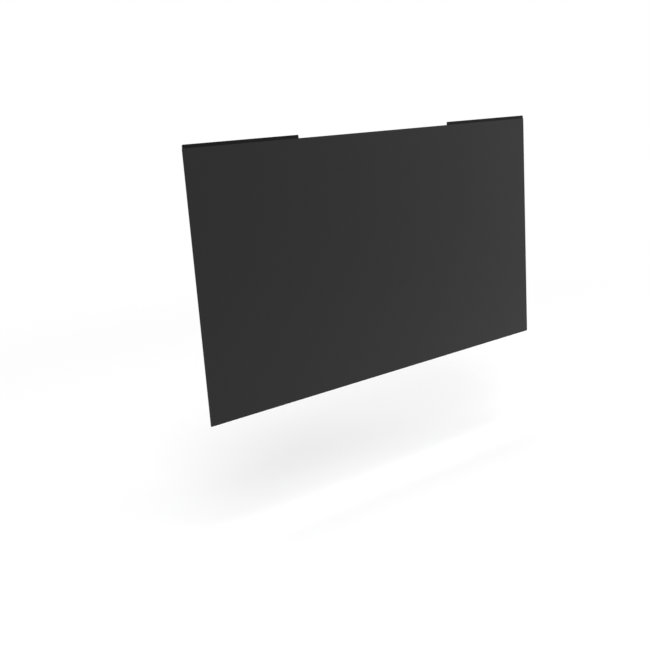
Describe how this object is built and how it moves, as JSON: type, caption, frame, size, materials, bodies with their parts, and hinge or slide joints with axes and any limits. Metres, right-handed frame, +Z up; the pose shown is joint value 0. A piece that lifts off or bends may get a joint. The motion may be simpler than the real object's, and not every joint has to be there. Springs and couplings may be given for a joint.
{
  "type": "monitor privacy filter",
  "caption": "Dark widescreen sheet that hides a monitor's picture from the side, with slim magnet strips on its top edge that hold it to the bezel.",
  "frame": {"origin": "centre of the whole filter's bounding box", "axes": "upright as it hangs on a monitor: +X along the width, to the right of someone who faces the screen; +Y back towards the monitor; +Z up"},
  "size_m": [0.531, 0.0014, 0.3028],
  "materials": {
    "louvre_film": "satin anti-glare plastic film, near black with very fine upright louvre lines",
    "magnet_rubber": "black rubber-bonded magnet, matt extruded skin",
    "bond_tape": "thin black double-sided tape"
  },
  "bodies": {
    "root": {"filter_sheet": "louvre_film", "magnet_strip_left": "magnet_rubber", "magnet_strip_right": "magnet_rubber", "bond_tape_left": "bond_tape", "bond_tape_right": "bond_tape"}
  },
  "joints": []
}
